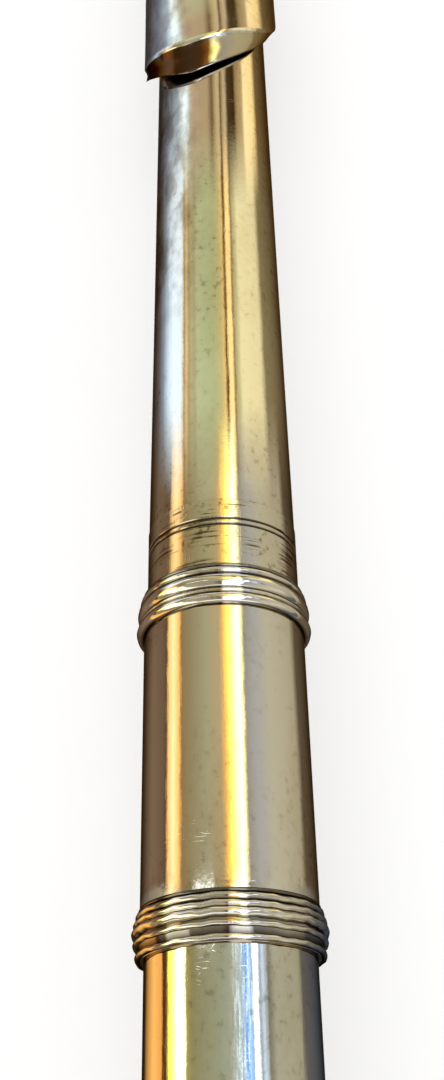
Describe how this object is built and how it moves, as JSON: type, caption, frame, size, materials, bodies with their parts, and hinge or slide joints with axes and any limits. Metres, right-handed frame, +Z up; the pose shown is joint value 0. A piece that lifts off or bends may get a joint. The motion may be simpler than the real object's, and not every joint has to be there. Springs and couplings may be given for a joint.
{
  "type": "concert flute",
  "caption": "Concert flute in three joints with tuning slide, beaded barrel rings, lip plate, hinged padded keys, stopper screw and foot keys.",
  "frame": {"origin": "centre of the open end of the foot, on the axis of the tube", "axes": "+X along the tube towards the head and crown; +Z up from the surface that the flute lies on"},
  "size_m": [0.659, 0.0425, 0.0385],
  "materials": {
    "silver_tube": "polished silver plate, tarnished and scuffed",
    "silver_parts": "polished silver plate",
    "pad_skin": "pale pad skin over felt",
    "cork": "natural cork",
    "blued_steel": "blued spring steel",
    "hinge_steel": "ground steel",
    "stopper_brass": "plated brass"
  },
  "bodies": {
    "body": {"barrel": "silver_tube", "body_tube": "silver_tube", "g_posts": "silver_parts", "g_sharp_posts": "silver_parts", "g_sharp_steel": "hinge_steel", "g_steel": "hinge_steel", "lower_barrel_ring": "silver_parts", "main_rib": "silver_parts", "main_steels": "hinge_steel", "needle_springs": "blued_steel", "thumb_rib": "silver_parts", "thumb_steel": "hinge_steel", "trill_posts": "silver_parts", "upper_barrel_ring": "silver_parts"},
    "head_joint": {"head_tube": "silver_tube", "lip_plate": "silver_parts", "riser": "silver_parts"},
    "crown": {"crown": "silver_parts"},
    "stopper": {"stopper_cork": "cork", "stopper_screw": "stopper_brass", "stopper_nut": "stopper_brass"},
    "foot_joint": {"foot_tube": "silver_tube", "foot_socket_ring": "silver_parts", "foot_end_ring": "silver_parts", "foot_rib": "silver_parts", "foot_steel": "hinge_steel", "foot_springs": "blued_steel"},
    "c_key": {"c_key": "silver_parts", "c_key_pad": "pad_skin"},
    "b_key": {"b_key": "silver_parts", "b_key_pad": "pad_skin"},
    "a_key": {"a_key": "silver_parts", "a_key_pad": "pad_skin"},
    "g_keys": {"g_keys": "silver_parts", "g_keys_pads": "pad_skin"},
    "f_sharp_key": {"f_sharp_key": "silver_parts", "f_sharp_key_pad": "pad_skin"},
    "f_key": {"f_key": "silver_parts", "f_key_pad": "pad_skin"},
    "e_key": {"e_key": "silver_parts", "e_key_pad": "pad_skin"},
    "d_key": {"d_key": "silver_parts", "d_key_pad": "pad_skin"},
    "g_sharp_key": {"g_sharp_key": "silver_parts", "g_sharp_key_pad": "pad_skin"},
    "thumb_b_key": {"thumb_b_key": "silver_parts", "thumb_b_key_pad": "pad_skin"},
    "thumb_b_flat_key": {"thumb_b_flat_key": "silver_parts"},
    "d_trill_key": {"d_trill_key": "silver_parts", "d_trill_key_pad": "pad_skin"},
    "d_sharp_trill_key": {"d_sharp_trill_key": "silver_parts", "d_sharp_trill_key_pad": "pad_skin"},
    "e_flat_key": {"e_flat_key": "silver_parts", "e_flat_key_pad": "pad_skin"},
    "c_sharp_foot_key": {"c_sharp_foot_key": "silver_parts", "c_sharp_foot_key_pad": "pad_skin"},
    "c_foot_key": {"c_foot_key": "silver_parts", "c_foot_key_pad": "pad_skin"},
    "c_roller": {"c_roller": "silver_parts"}
  },
  "joints": [
    {"name": "head_slide", "type": "slide", "parent": "body", "child": "head_joint", "axis": [1, 0, 0], "range_m": [-0.01, 0.012]},
    {"name": "crown_turn", "type": "hinge", "parent": "head_joint", "child": "crown", "pos_m": [0.65, 0, 0], "axis": [-1, 0, 0], "range_deg": [0, 360]},
    {"name": "stopper_slide", "type": "slide", "parent": "head_joint", "child": "stopper", "axis": [1, 0, 0], "range_m": [0, 0.0008]},
    {"name": "foot_turn", "type": "hinge", "parent": "body", "child": "foot_joint", "pos_m": [0.1187, 0, 0], "axis": [1, 0, 0], "continuous": true},
    {"name": "c_key_hinge", "type": "hinge", "parent": "body", "child": "c_key", "pos_m": [0.25, 0.0144, 0.00244], "axis": [1, 0, 0], "range_deg": [0, 11.92], "stiffness_Nm_per_rad": 0.02, "springref_deg": -22.92},
    {"name": "b_key_hinge", "type": "hinge", "parent": "body", "child": "b_key", "pos_m": [0.25, 0.0144, 0.00244], "axis": [1, 0, 0], "range_deg": [0, 11.92], "stiffness_Nm_per_rad": 0.02, "springref_deg": -22.92},
    {"name": "a_key_hinge", "type": "hinge", "parent": "body", "child": "a_key", "pos_m": [0.25, 0.0144, 0.00244], "axis": [1, 0, 0], "range_deg": [0, 11.92], "stiffness_Nm_per_rad": 0.02, "springref_deg": -22.92},
    {"name": "g_keys_hinge", "type": "hinge", "parent": "body", "child": "g_keys", "pos_m": [0.25, 0.01269, 0.00721], "axis": [1, 0, 0], "range_deg": [0, 11.92], "stiffness_Nm_per_rad": 0.02, "springref_deg": -22.92},
    {"name": "f_sharp_key_hinge", "type": "hinge", "parent": "body", "child": "f_sharp_key", "pos_m": [0.25, 0.0144, 0.00244], "axis": [1, 0, 0], "range_deg": [0, 11.92], "stiffness_Nm_per_rad": 0.02, "springref_deg": -22.92},
    {"name": "f_key_hinge", "type": "hinge", "parent": "body", "child": "f_key", "pos_m": [0.25, 0.0144, 0.00244], "axis": [1, 0, 0], "range_deg": [0, 11.92], "stiffness_Nm_per_rad": 0.02, "springref_deg": -22.92},
    {"name": "e_key_hinge", "type": "hinge", "parent": "body", "child": "e_key", "pos_m": [0.25, 0.0144, 0.00244], "axis": [1, 0, 0], "range_deg": [0, 11.92], "stiffness_Nm_per_rad": 0.02, "springref_deg": -22.92},
    {"name": "d_key_hinge", "type": "hinge", "parent": "body", "child": "d_key", "pos_m": [0.25, 0.0144, 0.00244], "axis": [1, 0, 0], "range_deg": [0, 11.92], "stiffness_Nm_per_rad": 0.02, "springref_deg": -22.92},
    {"name": "g_sharp_key_hinge", "type": "hinge", "parent": "body", "child": "g_sharp_key", "pos_m": [0.25, -0.01025, 0.01039], "axis": [-1, 0, 0], "range_deg": [0, 11.92], "stiffness_Nm_per_rad": 0.02, "springref_deg": -22.92},
    {"name": "thumb_b_key_hinge", "type": "hinge", "parent": "body", "child": "thumb_b_key", "pos_m": [0.25, 0.01157, -0.00891], "axis": [-1, 0, 0], "range_deg": [0, 11.92], "stiffness_Nm_per_rad": 0.02, "springref_deg": -22.92},
    {"name": "thumb_b_flat_key_hinge", "type": "hinge", "parent": "body", "child": "thumb_b_flat_key", "pos_m": [0.25, 0.01157, -0.00891], "axis": [-1, 0, 0], "range_deg": [0, 11.92], "stiffness_Nm_per_rad": 0.02, "springref_deg": -22.92},
    {"name": "d_trill_key_hinge", "type": "hinge", "parent": "body", "child": "d_trill_key", "pos_m": [0.25, 0.01407, -0.0039], "axis": [1, 0, 0], "range_deg": [0, 11.46], "stiffness_Nm_per_rad": 0.02, "springref_deg": -22.92},
    {"name": "d_sharp_trill_key_hinge", "type": "hinge", "parent": "body", "child": "d_sharp_trill_key", "pos_m": [0.25, 0.01407, -0.0039], "axis": [1, 0, 0], "range_deg": [0, 11.46], "stiffness_Nm_per_rad": 0.02, "springref_deg": -22.92},
    {"name": "e_flat_key_hinge", "type": "hinge", "parent": "foot_joint", "child": "e_flat_key", "pos_m": [0.07, 0.0144, 0.00244], "axis": [-1, 0, 0], "range_deg": [0, 11.92], "stiffness_Nm_per_rad": 0.02, "springref_deg": -22.92},
    {"name": "c_sharp_foot_key_hinge", "type": "hinge", "parent": "foot_joint", "child": "c_sharp_foot_key", "pos_m": [0.07, 0.0144, 0.00244], "axis": [1, 0, 0], "range_deg": [0, 11.92], "stiffness_Nm_per_rad": 0.02, "springref_deg": -22.92},
    {"name": "c_foot_key_hinge", "type": "hinge", "parent": "foot_joint", "child": "c_foot_key", "pos_m": [0.07, 0.0144, 0.00244], "axis": [1, 0, 0], "range_deg": [0, 11.92], "stiffness_Nm_per_rad": 0.02, "springref_deg": -22.92},
    {"name": "c_roller_spin", "type": "hinge", "parent": "c_foot_key", "child": "c_roller", "pos_m": [0.083, 0.0231, 0.00664], "axis": [1, 0, 0], "continuous": true}
  ],
  "couplings": [
    {"joint": "stopper_slide", "follows": "crown_turn", "m_per_rad": 0.00012732},
    {"joint": "b_key_hinge", "follows": "a_key_hinge", "ratio": 1},
    {"joint": "f_sharp_key_hinge", "follows": "f_key_hinge", "ratio": 1},
    {"joint": "thumb_b_key_hinge", "follows": "thumb_b_flat_key_hinge", "ratio": 1},
    {"joint": "c_sharp_foot_key_hinge", "follows": "c_foot_key_hinge", "ratio": 1}
  ]
}
